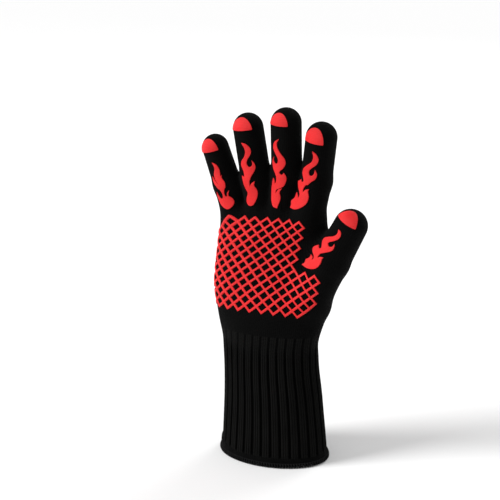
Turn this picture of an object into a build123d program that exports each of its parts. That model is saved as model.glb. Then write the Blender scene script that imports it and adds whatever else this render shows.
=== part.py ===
"""Heat resistant glove, right hand, standing on its cuff. Millimetres.

Palm faces -Y, thumb towards +X, fingers +Z. The origin is the centre of the cuff's mouth.
"""
from build123d import *
import math
import os

# ---- driving dimensions -------------------------------------------------------------------------
KNIT_T = 1.5          # outer knit
LAYER_GAP = 0.1       # between the knit and its lining
LINING_T = 1.3        # cotton lining
PRINT_LOW = 0.1       # a silicone print starts this far outside the knit
PRINT_HIGH = 0.9      # and ends here
SPLIT_GAP = 0.4       # gap between the two sides of a joint
HEM_H = 9.0           # height of the overlocked hem
HEM_PROUD = 1.3       # the hem stands this far outside the cuff
CUT_LAP = 5.0         # an inside is cut this far beyond its layer's end
LINING_OUT = -KNIT_T - LAYER_GAP
LINING_IN = LINING_OUT - LINING_T
CUT_BIG = 200.0       # larger than the glove's width and depth
SLIVER = 0.002        # solids under this share of a part's largest one are cutting waste

# hand and cuff: height, centre x, half width, half depth
TRUNK = [
    (-12, 0.0, 55.0, 38.6),
    (0, 0.0, 54.5, 38.0),
    (60, -2.0, 50.0, 34.0),
    (100, -4.0, 47.0, 30.0),
    (116, -4.5, 47.0, 28.0),
    (136, -4.0, 50.5, 25.5),
    (165, -3.0, 57.0, 23.0),
    (200, -1.5, 56.0, 19.5),
    (232, -1.0, 53.0, 16.5),
    (246, -0.5, 50.0, 12.5),
]
# each digit: sphere centres and radii at its base, its middle and its tip
DIGITS = {
    "little": [(-40.2, 0, 236, 12.6), (-47.5, -2, 266, 13.4), (-57, -8, 300.5, 12.4)],
    "ring": [(-14.0, 0, 240, 12.9), (-18.5, -2, 276, 14.4), (-23.5, -8, 321.5, 14.2)],
    "middle": [(12.8, 0, 243, 12.9), (13.5, -2, 282, 14.4), (14, -8, 328, 14.2)],
    "index": [(39.3, 0, 243, 13.0), (44.2, -2, 276, 15.0), (49, -8, 314.5, 14.8)],
    "thumb": [(41, -5, 168, 20.0), (60, -9, 202, 17.0), (79, -12, 237.5, 15.2)],
}
FINGERS = ["little", "ring", "middle", "index"]
SLAB_X = [-80.0, -27.2, -0.6, 25.95, 80.0]    # the hand's top edge is shared out between the fingers
SLAB_GAP = 1.3
TRUNK_TOP = 247.5                             # above this each finger has its own outline
TRUNK_END = 260.0                             # above the rounded top of the hand
HAND_LOW = 60.0                               # the palm's layers are cut from this height up
FINGER_LOW = 222.0                            # and the fingers' share of the hand from this one
CUFF_HIGH = 160.0                             # the cuff's layers are cut below this height

WRIST = (-4.5, 0.0, 118.0)
WRIST_R = 33.0
KNUCKLE = (0.0, 0.0, 254.0)
KNUCKLE_TILT = math.degrees(math.atan(0.04))  # the knuckle line rises towards the index finger
KNUCKLE_R = 21.0
MID_Z = {"little": 279.0, "ring": 286.0, "middle": 290.0, "index": 286.0}
MID_R = {"little": 17.3, "ring": 18.6, "middle": 18.6, "index": 19.4}
THUMB_BASE = (58.6, -8.7, 199.5)
THUMB_BASE_R = 19.4
THUMB_MID = (74.4, -11.2, 229.0)
THUMB_MID_R = 17.6
THUMB_LEAN = 28.2                             # thumb's lean from +Z towards +X, degrees
THUMB_ROOM = 0.9                              # the palm stays this far off the moving thumb
THUMB_BOX = 90.0                              # the moving thumb fits in a cube of this side

# prints
LATTICE_STRIP = 2.7
LATTICE_CELL = (-5.0, 197.5)                  # the middle of one opening, x and z
LATTICE_DOWN = (4.4, -5.15)                   # step to the next opening down to the right
LATTICE_UP = (6.75, 5.45)                     # and to the next one up to the right
LATTICE_COUNT = 16
LATTICE_FIELD = [(-57, 150), (47, 150), (56, 174), (56, 191), (29, 191), (37, 241), (-57, 241)]
EMBLEM_Z = 189.0
EMBLEM_X = -3.0
EMBLEM_R = 28.0
EMBLEM_BANDS = [(EMBLEM_R, 2.2), (EMBLEM_R - 5.0, 1.2)]  # outer radius and width of each ring
EMBLEM_TURN = 38.0                            # each crossed tool's lean, degrees
HANDLE = (2.4, 22.0)                          # a tool's handle, width and length
CLEARING = 2.5                                # between the emblem and the lattice
FLAME_LEN = {"little": 47, "ring": 60, "middle": 65, "index": 58, "thumb": 43}
FLAME_W = {"little": 15, "ring": 15, "middle": 16, "index": 16, "thumb": 17}
FLAME_FOOT = {"little": 246, "ring": 251, "middle": 251, "index": 251, "thumb": 198}
PAD_W = {"little": 18, "ring": 20, "middle": 18, "index": 19, "thumb": 19}
FLAME_SHIFT = {"little": -1, "ring": -1, "middle": -4, "index": -6, "thumb": -6}
PAD_UP = {"little": 0, "ring": 0, "middle": 0, "index": 0, "thumb": 4.8}
PAD_H = 13.0
PRINT_REACH = 60.0                            # a print's outline is carried this far, through a side


# ---- basic shapes -------------------------------------------------------------------------------
def trunk(grow, z_low, z_high):
    """The hand and cuff as one smooth body, grown by the given amount and cut to a height range."""
    faces = []
    for z, x, a, b in TRUNK:
        top = grow if z == TRUNK[-1][0] else 0.0
        faces.append(Plane((x, 0, z + top)) * Ellipse(a + grow, b + grow).face())
    solid = loft(faces)
    band = Pos(0, 0, (z_low + z_high) / 2) * Box(CUT_BIG, CUT_BIG, z_high - z_low)
    return solid & band


def between(a, b, ra, rb):
    """A cone frustum from point a to point b."""
    a, b = Vector(*a), Vector(*b)
    span = b - a
    place = Plane(origin=a, z_dir=span.normalized())
    return place * Cone(ra, rb, span.length, align=(Align.CENTER, Align.CENTER, Align.MIN))


def digit(name, grow):
    """One digit as rounded tubes through its three centres."""
    chain = DIGITS[name]
    solid = None
    for x, y, z, r in chain:
        ball = Pos(x, y, z) * Sphere(r + grow)
        solid = ball if solid is None else solid + ball
    for p, q in zip(chain, chain[1:]):
        solid = solid + between(p[:3], q[:3], p[3] + grow, q[3] + grow)
    return solid


def main_solid(shape):
    """The largest solid of a boolean result: slivers at a cut are dropped."""
    return max(shape.solids(), key=lambda s: s.volume)


def axis_dir():
    """The knuckle line's direction."""
    return Vector(math.cos(math.radians(KNUCKLE_TILT)), 0, math.sin(math.radians(KNUCKLE_TILT)))


def beyond(point, x_dir, radius):
    """Everything on the far side of a hinge: a cylinder about it and the half space above it."""
    turn = -math.degrees(math.atan2(x_dir.Z, x_dir.X))
    place = Pos(*point) * Rot(0, turn, 0)
    barrel = place * Rot(0, 90, 0) * Cylinder(radius, CUT_BIG)
    above = place * Pos(0, 0, CUT_BIG / 2) * Box(CUT_BIG, CUT_BIG, CUT_BIG)
    return barrel + above


def knuckle_cut(gap):
    """The space of the moving fingers."""
    return beyond(KNUCKLE, axis_dir(), KNUCKLE_R + gap)


def mid_point(name):
    """The hinge point of a finger's middle joint, on the finger's own centre line."""
    low, high = DIGITS[name][1], DIGITS[name][2]
    z = MID_Z[name]
    t = (z - low[2]) / (high[2] - low[2])
    return (low[0] + t * (high[0] - low[0]), low[1] + t * (high[1] - low[1]), z)


def thumb_axis():
    """The direction that both thumb hinges turn about."""
    lean = math.radians(THUMB_LEAN)
    return Vector(math.cos(lean), 0, -math.sin(lean))


def mid_cut(name, gap):
    """The space beyond a digit's middle joint."""
    if name == "thumb":
        return beyond(THUMB_MID, thumb_axis(), THUMB_MID_R + gap)
    return beyond(mid_point(name), axis_dir(), MID_R[name] + gap)


def thumb_cut(grow, gap):
    """The space of the moving thumb: a ball at its hinge and the thumb beyond it."""
    ball = Pos(*THUMB_BASE) * Sphere(THUMB_BASE_R + gap)
    turn = Pos(*THUMB_BASE) * Rot(0, THUMB_LEAN, 0)
    above = turn * Pos(0, 0, THUMB_BOX / 2) * Box(THUMB_BOX, THUMB_BOX, THUMB_BOX)
    return ball + (digit("thumb", grow + gap) & above)


# ---- skins of each region -----------------------------------------------------------------------
def shell(region, low, high):
    """A layer of a region between two offsets, where region(offset) gives its solid."""
    return region(high) - region(low)


def finger_full(name):
    """A finger with its share of the hand's top edge, as a function of the offset."""
    i = FINGERS.index(name)
    low, high = SLAB_X[i] + SLAB_GAP / 2, SLAB_X[i + 1] - SLAB_GAP / 2
    slab = Pos((low + high) / 2, 0, TRUNK_TOP) * Box(high - low, CUT_BIG, CUT_BIG)
    above = Pos(0, 0, TRUNK_TOP + CUT_BIG / 2) * Box(CUT_BIG, CUT_BIG, CUT_BIG)
    allowed = slab + above

    def region(grow):
        return (trunk(grow, FINGER_LOW, TRUNK_END) + digit(name, grow)) & allowed

    return region


def hand_full(grow):
    """The hand above the cuff, with the thumb."""
    return trunk(grow, HAND_LOW, TRUNK_END) + digit("thumb", grow)


def lower_of(name, low, high):
    """The knuckle length of a digit's layer."""
    if name == "thumb":
        body = shell(lambda g: digit("thumb", g), low, high) & thumb_cut(high, 0)
        return body - mid_cut(name, SPLIT_GAP)
    body = shell(finger_full(name), low, high) & knuckle_cut(0)
    return body - mid_cut(name, SPLIT_GAP)


def upper_of(name, low, high):
    """The tip length of a digit's layer."""
    return shell(lambda g: digit(name, g), low, high) & mid_cut(name, 0)


def palm_of(low, high):
    """The hand from the wrist to the knuckles, with the thumb's base."""
    body = shell(hand_full, low, high) & beyond(WRIST, Vector(1, 0, 0), WRIST_R)
    body = body - knuckle_cut(SPLIT_GAP)
    return body - thumb_cut(max(high, 0) + THUMB_ROOM, SPLIT_GAP)


def cuff_of(low, high, z_low):
    """The cuff from its mouth to the wrist."""
    body = trunk(high, z_low, CUFF_HIGH) - trunk(low, TRUNK[0][0], CUFF_HIGH + CUT_LAP)
    return body - beyond(WRIST, Vector(1, 0, 0), WRIST_R + SPLIT_GAP)


# ---- prints -------------------------------------------------------------------------------------
def flame_outline(length, width):
    """A flame: a round foot, an S-shaped tongue and two side licks, foot at the origin, tip up."""
    w, h = width / 2, length
    body = make_face(Spline([
        (-0.25 * w, 0.0), (-w, 0.14 * h), (-0.55 * w, 0.36 * h), (-0.8 * w, 0.6 * h),
        (-0.1 * w, 0.8 * h), (0.1 * w, h), (0.55 * w, 0.82 * h), (0.05 * w, 0.6 * h),
        (0.25 * w, 0.4 * h), (0.95 * w, 0.17 * h)], periodic=True))
    lick_1 = make_face([
        ThreePointArc((0.0, 0.2 * h), (0.75 * w, 0.24 * h), (0.95 * w, 0.4 * h)),
        ThreePointArc((0.95 * w, 0.4 * h), (0.45 * w, 0.36 * h), (0.0, 0.2 * h))])
    lick_2 = make_face([
        ThreePointArc((-0.3 * w, 0.5 * h), (0.6 * w, 0.5 * h), (0.95 * w, 0.68 * h)),
        ThreePointArc((0.95 * w, 0.68 * h), (0.4 * w, 0.6 * h), (-0.3 * w, 0.5 * h))])
    return body + lick_1 + lick_2


def pad_outline(width, height):
    """A half moon with its straight side down."""
    half = Ellipse(width / 2, height)
    return half & (Pos(0, height / 2) * Rectangle(width + 2, height))


def strips(step, other):
    """Parallel strips along one step of the lattice, spaced by the other."""
    turn = math.degrees(math.atan2(step[1], step[0]))
    found = None
    for i in range(-LATTICE_COUNT, LATTICE_COUNT):
        x = LATTICE_CELL[0] + (i + 0.5) * other[0]
        z = LATTICE_CELL[1] + (i + 0.5) * other[1]
        bar = Pos(x, z) * Rot(0, 0, turn) * Rectangle(CUT_BIG, LATTICE_STRIP)
        found = bar if found is None else found + bar
    return found


def lattice_outline(side):
    """Crossed diagonal strips in a stepped field, with a round clearing for the emblem at the back."""
    field = make_face(Polyline(LATTICE_FIELD, close=True))
    crossed = strips(LATTICE_DOWN, LATTICE_UP) + strips(LATTICE_UP, LATTICE_DOWN)
    crossed = crossed & field
    if side > 0:
        crossed = crossed - Pos(EMBLEM_X, EMBLEM_Z) * Circle(EMBLEM_R + CLEARING)
    return crossed


def through(sketch, side, x=0.0, y=0.0, z=0.0, lean=0.0):
    """Extrude an upright outline through the palm side (-1) or the back (+1) of the glove."""
    lean = math.radians(lean)
    upright = Plane(origin=(x, y, z), x_dir=(math.cos(lean), 0, -math.sin(lean)), z_dir=(0, -1, 0))
    return extrude(upright * sketch, amount=PRINT_REACH, dir=(0, side, 0))


def lean_of(name):
    """A digit's lean from +Z towards +X, degrees."""
    low, high = DIGITS[name][1], DIGITS[name][2]
    return math.degrees(math.atan2(high[0] - low[0], high[2] - low[2]))


def centre_x(name, z):
    """Where a digit's centre line is at a height."""
    chain = DIGITS[name]
    pair = (chain[0], chain[1]) if z < chain[1][2] else (chain[1], chain[2])
    t = (z - pair[0][2]) / (pair[1][2] - pair[0][2])
    return pair[0][0] + t * (pair[1][0] - pair[0][0])


def digit_skin(name):
    """The thin layer outside the knit that a digit's prints are cut from."""
    if name == "thumb":
        return shell(lambda g: digit("thumb", g), PRINT_LOW, PRINT_HIGH)
    return shell(finger_full(name), PRINT_LOW, PRINT_HIGH)


def flame(name, side, skin):
    """A digit's flame on one side of the glove."""
    z = FLAME_FOOT[name]
    shape = flame_outline(FLAME_LEN[name], FLAME_W[name])
    y = DIGITS[name][1][1]
    x = centre_x(name, z) + FLAME_SHIFT[name]
    return main_solid(skin & through(shape, side, x, y, z, lean_of(name)))


def pad(name, side, skin):
    """A digit's fingertip pad on one side of the glove."""
    x, y, z = DIGITS[name][2][:3]
    lean = math.radians(lean_of(name))
    up = PAD_UP[name]
    shape = pad_outline(PAD_W[name], PAD_H)
    x, z = x + up * math.sin(lean) + FLAME_SHIFT[name] / 2, z + up * math.cos(lean)
    return main_solid(skin & through(shape, side, x, y, z, lean_of(name)))


def lattice(side):
    """The lattice on one side of the hand."""
    skin = shell(hand_full, PRINT_LOW, PRINT_HIGH) - knuckle_cut(SPLIT_GAP)
    skin = skin - thumb_cut(PRINT_HIGH + THUMB_ROOM, SPLIT_GAP)
    return skin & through(lattice_outline(side), side)


def emblem_ring(skin):
    """Two rings, one inside the other."""
    bands = [Circle(radius) - Circle(radius - width) for radius, width in EMBLEM_BANDS]
    return skin & through(bands[0] + bands[1], 1, EMBLEM_X, 0, EMBLEM_Z)


def emblem_tools(skin):
    """A spatula and a fork, crossed."""
    spatula = Rectangle(*HANDLE) + Pos(0, 11) * Rectangle(9, 11)
    fork = Rectangle(*HANDLE) + Pos(0, 8) * Rectangle(8, HANDLE[0])
    for x in (-3, 0, 3):
        fork = fork + Pos(x, 12) * Rectangle(1.6, 9)
    crossed = Rot(0, 0, EMBLEM_TURN) * spatula + Rot(0, 0, -EMBLEM_TURN) * fork
    return skin & through(crossed, 1, EMBLEM_X, 0, EMBLEM_Z)


def hem():
    """The overlocked band round the mouth."""
    return trunk(HEM_PROUD, 0, HEM_H) - trunk(LINING_IN, TRUNK[0][0], HEM_H + CUT_LAP)


# ---- write --------------------------------------------------------------------------------------
def save(name, shape):
    solids = list(shape.solids())
    biggest = max(s.volume for s in solids)
    kept = [s for s in solids if s.volume > SLIVER * biggest]
    whole = kept[0] if len(kept) == 1 else Compound(children=kept)
    export_step(whole, "parts/" + name + ".step")
    print(name, len(kept), round(sum(s.volume for s in kept)))


def main():
    os.makedirs("parts", exist_ok=True)
    save("cuff_knit", cuff_of(-KNIT_T, 0, HEM_H))
    save("cuff_lining", cuff_of(LINING_IN, LINING_OUT, HEM_H))
    save("cuff_hem", hem())
    save("palm_knit", palm_of(-KNIT_T, 0))
    save("palm_lining", palm_of(LINING_IN, LINING_OUT))
    for name in DIGITS:
        save(name + "_lower_knit", main_solid(lower_of(name, -KNIT_T, 0)))
        save(name + "_upper_knit", main_solid(upper_of(name, -KNIT_T, 0)))
        save(name + "_lower_lining", main_solid(lower_of(name, LINING_IN, LINING_OUT)))
        save(name + "_upper_lining", main_solid(upper_of(name, LINING_IN, LINING_OUT)))
        skin = digit_skin(name)
        for side, word in ((-1, "palm"), (1, "back")):
            save(name + "_flame_" + word, flame(name, side, skin))
            save(name + "_pad_" + word, pad(name, side, skin))
    save("palm_lattice", lattice(-1))
    save("back_lattice", lattice(1))
    hand_skin = shell(hand_full, PRINT_LOW, PRINT_HIGH)
    save("emblem_ring", emblem_ring(hand_skin))
    save("emblem_tools", emblem_tools(hand_skin))


main()
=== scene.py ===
import math
import bpy
import numpy as np
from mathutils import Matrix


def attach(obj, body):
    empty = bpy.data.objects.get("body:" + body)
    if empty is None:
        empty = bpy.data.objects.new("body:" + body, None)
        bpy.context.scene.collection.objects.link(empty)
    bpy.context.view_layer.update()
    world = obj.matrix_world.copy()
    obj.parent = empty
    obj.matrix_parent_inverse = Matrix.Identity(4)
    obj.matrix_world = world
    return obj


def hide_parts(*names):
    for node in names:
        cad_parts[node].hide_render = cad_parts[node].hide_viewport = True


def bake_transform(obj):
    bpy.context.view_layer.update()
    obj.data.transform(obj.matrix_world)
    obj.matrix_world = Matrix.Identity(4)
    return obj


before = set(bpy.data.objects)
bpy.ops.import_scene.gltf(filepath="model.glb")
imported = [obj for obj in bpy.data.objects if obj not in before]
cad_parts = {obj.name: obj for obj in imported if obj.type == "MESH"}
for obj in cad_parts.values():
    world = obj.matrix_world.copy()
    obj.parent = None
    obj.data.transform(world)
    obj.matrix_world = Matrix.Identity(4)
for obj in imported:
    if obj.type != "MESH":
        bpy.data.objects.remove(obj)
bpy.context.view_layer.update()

import openvdb as vdb
from mathutils import Vector

# Lengths are millimetres in the shape code. MM turns them into metres when a mesh is made.
# Palm faces -Y, thumb towards +X, fingers +Z, and the origin is the centre of the cuff's mouth.
MM = 0.001

# ---- the hand's shape ----------------------------------------------------------------------------
# height, centre x, half width, half depth, squareness of the section
TRUNK = np.array([
    (-12, 0.9, 53.8, 38.6, 2.0),
    (0, 0.9, 53.3, 38.0, 2.0),
    (60, -0.5, 49.5, 34.0, 2.0),
    (100, -3.5, 47.8, 30.0, 2.0),
    (116, -4.1, 48.3, 28.0, 2.05),
    (136, -3.6, 53.2, 25.5, 2.15),
    (150, -2.2, 57.0, 24.2, 2.2),
    (165, -3.4, 57.6, 23.0, 2.25),
    (200, -1.8, 56.5, 19.8, 2.3),
    (232, -1.0, 53.0, 16.8, 2.3),
    (246, -0.5, 50.0, 12.5, 2.3),
])
TRUNK_TOP = 246.5
TOP_ROUND, DIGIT_ROUND, WEB_ROUND = 8, 4, 6     # roundings: the palm's top, a digit's middle, the webs
PALM_ROUND, THUMB_ROUND = 7, 12                 # and where the fingers and the thumb leave the palm
DIGITS = {
    "little": [(-40.2, 0, 236, 12.6), (-47.5, -2, 266, 13.4), (-57, -8, 301.2, 12.6)],
    "ring": [(-14.0, 0, 240, 12.9), (-18.5, -2, 276, 14.4), (-23.5, -8, 321.5, 14.2)],
    "middle": [(7.0, 0.3, 242, 14.2), (12.6, -2, 282, 14.3), (14, -8, 328.3, 14.3)],
    "index": [(33.0, -2.5, 238, 16.0), (42.3, -3, 276, 14.5), (48.4, -8, 317.2, 14.5)],
    "thumb": [(39.5, -5, 166, 18.6), (60, -9, 202, 17.0), (79.2, -12, 238.9, 15.7)],
}
FINGERS = ("little", "ring", "middle", "index")
CUFF_TOP = 127.0              # the ribbed cuff is one mesh up to here and the hand another from here
GIRTH_R = 14.3                # a digit's girth is measured on this radius

# joints: where each bend starts and ends
KNUCKLE_BEND = (240.5, 268.0)
MIDDLE_BEND = {"little": (269.0, 291.0), "ring": (272.5, 299.5), "middle": (276.5, 303.5),
               "index": (272.5, 299.5)}
THUMB_BENDS = (24, 8, 18, 42)  # start of the lower bend from the base, the rest from the middle


def curve(s, a, b, slope_a, slope_b):
    """The smooth way from a to b at s, 0 to 1, with a slope at each end."""
    return ((2 * s**3 - 3 * s**2 + 1) * a + (s**3 - 2 * s**2 + s) * slope_a
            + (3 * s**2 - 2 * s**3) * b + (s**3 - s**2) * slope_b)


def smooth_rows(rows, z):
    """Each column of a table of rows, interpolated smoothly at heights z."""
    t = rows[:, 0]
    z = np.clip(z, t[0], t[-1])
    i = np.clip(np.searchsorted(t, z) - 1, 0, len(t) - 2)
    h = t[i + 1] - t[i]
    s = (z - t[i]) / h
    columns = []
    for c in range(1, rows.shape[1]):
        v = rows[:, c]
        m = np.gradient(v, t)
        columns.append(curve(s, v[i], v[i + 1], h * m[i], h * m[i + 1]))
    return columns


def smooth_min(a, b, k):
    """The smaller of two distances, rounded where they are within k of each other."""
    h = np.maximum(k - np.abs(a - b), 0) / k
    return np.minimum(a, b) - h * h * k / 4


def smooth_max(a, b, k):
    """The larger of two distances, rounded in the same way."""
    return -smooth_min(-a, -b, k)


def trunk(p):
    """Distance to the palm and cuff."""
    x, y, z = p[..., 0], p[..., 1], p[..., 2]
    xc, a, b, n = smooth_rows(TRUNK, z)
    u, v = np.abs(x - xc) / a + 1e-6, np.abs(y) / b + 1e-6
    k = (u**n + v**n) ** (1 / n)
    slope = np.sqrt((u ** (n - 1) / a) ** 2 + (v ** (n - 1) / b) ** 2) * k ** (1 - n)
    return smooth_max((k - 1) / slope, z - TRUNK_TOP, TOP_ROUND)


def rounded_cone(p, low, high):
    """Distance to two balls of different size and the cone round them."""
    a, b = np.array(low[:3], float), np.array(high[:3], float)
    r1, r2 = low[3], high[3]
    ba = b - a
    l2 = ba @ ba
    rr = r1 - r2
    a2 = l2 - rr * rr
    pa = p - a
    y = pa @ ba
    z = y - l2
    x2 = ((pa * l2 - y[..., None] * ba) ** 2).sum(-1)
    k = np.sign(rr) * rr * rr * x2
    d = (np.sqrt(x2 * a2 / l2) + y * rr) / l2 - r1
    low_cap = np.sign(y) * a2 * y * y * l2 < k
    high_cap = np.sign(z) * a2 * z * z * l2 > k
    d = np.where(low_cap, np.sqrt(x2 + y * y * l2) / l2 - r1, d)
    return np.where(high_cap, np.sqrt(x2 + z * z * l2) / l2 - r2, d)


def digit(p, name):
    """Distance to one digit."""
    low, mid, high = DIGITS[name]
    return smooth_min(rounded_cone(p, low, mid), rounded_cone(p, mid, high), DIGIT_ROUND)


def fingers(p):
    """Distance to the four fingers, which meet in a web at their bases."""
    d = None
    for name in FINGERS:
        one = digit(p, name)
        d = one if d is None else smooth_min(d, one, WEB_ROUND)
    return d


def hand(p):
    """Distance to the whole hand: palm, fingers and thumb run into each other."""
    return smooth_min(smooth_min(trunk(p), fingers(p), PALM_ROUND), digit(p, "thumb"), THUMB_ROUND)


def gradient(field, p, step=0.05):
    """How a field changes along each axis, by central differences."""
    g = np.empty_like(p)
    for axis in range(3):
        d = np.zeros(3)
        d[axis] = step
        g[..., axis] = (field(p + d) - field(p - d)) / (2 * step)
    return g


def unit(v):
    """Vectors scaled to length 1."""
    return v / np.maximum(np.linalg.norm(v, axis=-1, keepdims=True), 1e-9)


# ---- meshes from a distance field ----------------------------------------------------------------
def field_mesh(field, low, high, step, polish=2):
    """Quads of the zero surface of a field inside a box, drawn onto that surface."""
    low, high = np.array(low, float), np.array(high, float)
    count = np.ceil((high - low) / step).astype(int) + 1
    axes = [low[i] + step * np.arange(count[i]) for i in range(3)]
    values = np.empty(count, np.float32)
    for i, x in enumerate(axes[0]):
        y, z = np.meshgrid(axes[1], axes[2], indexing="ij")
        values[i] = field(np.stack([np.full_like(y, x), y, z], -1))
    grid = vdb.FloatGrid(float(3 * step))
    grid.copyFromArray(np.ascontiguousarray(np.clip(values, -3 * step, 3 * step)))
    points, quads = grid.convertToQuads(0.0)
    p = low + step * np.asarray(points, float)
    for _ in range(polish):
        g = gradient(field, p)
        p = p - np.clip(field(p) / np.maximum((g * g).sum(-1), 0.05), -step, step)[:, None] * g
    return p, np.asarray(quads)


def used_only(points, faces, *columns):
    """Drop the points no face uses."""
    keep, back = np.unique(faces.ravel(), return_inverse=True)
    return points[keep], back.reshape(faces.shape), [c[keep] for c in columns]


def new_piece(name, points, faces, material, normals=None, uv=None):
    """A mesh object in metres. uv holds one pair for each corner of each face."""
    mesh = bpy.data.meshes.new(name)
    faces = np.asarray(faces)
    count, sides = faces.shape
    mesh.vertices.add(len(points))
    mesh.vertices.foreach_set("co", (np.asarray(points) * MM).astype(np.float32).ravel())
    mesh.loops.add(count * sides)
    mesh.loops.foreach_set("vertex_index", faces.astype(np.int32).ravel())
    mesh.polygons.add(count)
    mesh.polygons.foreach_set("loop_start", (np.arange(count) * sides).astype(np.int32))
    mesh.update(calc_edges=True)
    mesh.polygons.foreach_set("use_smooth", np.ones(count, bool))
    if uv is not None:
        layer = mesh.uv_layers.new(name="knit")
        layer.data.foreach_set("uv", np.asarray(uv, np.float32).ravel())
    if normals is not None:
        mesh.normals_split_custom_set_from_vertices(unit(normals).tolist())
    mesh.materials.append(material)
    piece = bpy.data.objects.new(name, mesh)
    bpy.context.scene.collection.objects.link(piece)
    return piece


# ---- coordinates on the surface ------------------------------------------------------------------
def read_table(table, x, y):
    """A table's value between its entries, at places counted in rows and columns."""
    x = np.clip(x, 0, table.shape[0] - 1.001)
    y = np.clip(y, 0, table.shape[1] - 1.001)
    i, j = x.astype(int), y.astype(int)
    x, y = x - i, y - j
    return ((table[i, j] * (1 - x) + table[i + 1, j] * x) * (1 - y)
            + (table[i, j + 1] * (1 - x) + table[i + 1, j + 1] * x) * y)


def section_point(turn, a, b, n):
    """A point of the trunk's section: how far across towards the thumb and out of the palm."""
    return (a * np.sign(np.sin(turn)) * np.abs(np.sin(turn)) ** (2 / n),
            b * np.sign(np.cos(turn)) * np.abs(np.cos(turn)) ** (2 / n))


def girth_table():
    """Length round the trunk's section from the palm side's middle, for each height and each turn."""
    z = np.linspace(TRUNK[0, 0], TRUNK[-1, 0], 130)
    turn = np.linspace(-math.pi, math.pi, 721)
    _, a, b, n = [c[:, None] for c in smooth_rows(TRUNK, z)]
    across, out = section_point(turn, a, b, n)
    part = np.hypot(np.diff(across, axis=1), np.diff(out, axis=1))
    length = np.concatenate([np.zeros((len(z), 1)), np.cumsum(part, axis=1)], axis=1)
    return z, turn, length - length[:, 360:361]


GIRTH_Z, GIRTH_TURN, GIRTH = girth_table()


def trunk_turn(p):
    """The parameter of the trunk's section under a point: 0 in the palm's middle, + towards the thumb."""
    xc, a, b, n = smooth_rows(TRUNK, p[..., 2])
    u, v = (p[..., 0] - xc) / a, -p[..., 1] / b
    return np.arctan2(np.sign(u) * np.abs(u) ** (n / 2), np.sign(v) * np.abs(v) ** (n / 2))


def trunk_girth(p):
    """Length round the trunk from the palm side's middle to a point."""
    rows = (p[..., 2] - GIRTH_Z[0]) / (GIRTH_Z[1] - GIRTH_Z[0])
    return read_table(GIRTH, rows, (trunk_turn(p) + math.pi) / (GIRTH_TURN[1] - GIRTH_TURN[0]))


def digit_line(name):
    """A digit's centres, directions and lengths."""
    low, mid, high = [np.array(c[:3], float) for c in DIGITS[name]]
    t1, t2 = unit(mid - low), unit(high - mid)
    return low, mid, high, t1, t2, np.linalg.norm(mid - low), np.linalg.norm(high - mid)


def facing(axis, side):
    """The ways out of a digit's palm side (-1) or back (+1) and across it, square to its axis."""
    out = np.array([0.0, side, 0.0])
    out = unit(out - np.expand_dims(axis @ out, -1) * axis)
    return out, np.cross(axis, out) * (-side)


def on_digit(p, name, side=-1):
    """Girth and length of points on a digit: girth from the middle of its palm side (-1) or back (+1)."""
    low, mid, _, t1, t2, l1, _ = digit_line(name)
    s1, s2 = (p - low) @ t1, (p - mid) @ t2
    far = (s2 > 0)[..., None]
    along = np.where(far[..., 0], l1 + s2, s1)
    centre = np.where(far, mid + s2[..., None] * t2, low + s1[..., None] * t1)
    axis = np.where(far, t2, t1)
    front, right = facing(axis, side)
    d = p - centre
    turn = np.arctan2((d * right).sum(-1), (d * front).sum(-1))
    return turn * GIRTH_R, along


# ---- knit coordinates ----------------------------------------------------------------------------
WALE = 1.9                   # width of one column of stitches
COURSE = 1.35                # height of one row of stitches
WALES_IN_RIB = 4             # three raised and one sunk


def knit_of_trunk(p):
    """Wales run up the hand."""
    return np.stack([trunk_girth(p) / WALE, p[..., 2] / COURSE], -1)


def knit_of_digit(p, name, side):
    """Wales run along the digit and start in step with the palm's."""
    u, v = on_digit(p, name, side)
    root = np.array(DIGITS[name][1][:3], float)
    root[1] = side * 14.0
    base = float(trunk_girth(root[None])[0])
    return np.stack([(base - side * u) / WALE, (DIGITS[name][0][2] + v) / COURSE], -1)


# ---- materials -----------------------------------------------------------------------------------
class Nodes:
    """A small helper for building a material's node tree."""

    def __init__(self, name):
        self.material = bpy.data.materials.new(name)
        self.material.use_nodes = True
        self.tree = self.material.node_tree
        self.shader = self.tree.nodes["Principled BSDF"]

    def add(self, kind, **settings):
        node = self.tree.nodes.new(kind)
        for key, value in settings.items():
            setattr(node, key, value)
        return node

    def feed(self, node, inputs):
        """Give a node's inputs numbers, colours or other nodes' outputs."""
        for name, value in inputs.items():
            if isinstance(value, bpy.types.NodeSocket):
                self.tree.links.new(value, node.inputs[name])
            else:
                node.inputs[name].default_value = value

    def math(self, operation, a, b=None, clamp=False):
        node = self.add("ShaderNodeMath", operation=operation, use_clamp=clamp)
        self.feed(node, {0: a} if b is None else {0: a, 1: b})
        return node.outputs[0]

    def noise(self, vector, scale, detail=2.0, rough=0.5):
        node = self.add("ShaderNodeTexNoise")
        self.feed(node, {"Scale": scale, "Detail": detail, "Roughness": rough, "Vector": vector})
        return node.outputs["Fac"]

    def ramp(self, factor, stops):
        node = self.add("ShaderNodeValToRGB")
        ramp = node.color_ramp
        while len(ramp.elements) < len(stops):
            ramp.elements.new(0.5)
        for element, (place, colour) in zip(ramp.elements, stops):
            element.position = place
            element.color = (*colour, 1)
        self.feed(node, {"Fac": factor})
        return node.outputs["Color"]

    def bump(self, height, strength, distance, under=None):
        node = self.add("ShaderNodeBump")
        self.feed(node, {"Strength": strength, "Distance": distance, "Height": height})
        if under is not None:
            self.feed(node, {"Normal": under})
        return node.outputs["Normal"]

    def object_place(self):
        return self.add("ShaderNodeTexCoord").outputs["Object"]


def knit_place(n):
    """The knit coordinates, counted in wales round and courses up."""
    place = n.add("ShaderNodeUVMap", uv_map="knit")
    split = n.add("ShaderNodeSeparateXYZ")
    n.feed(split, {0: place.outputs["UV"]})
    return split.outputs["X"], split.outputs["Y"]


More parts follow.
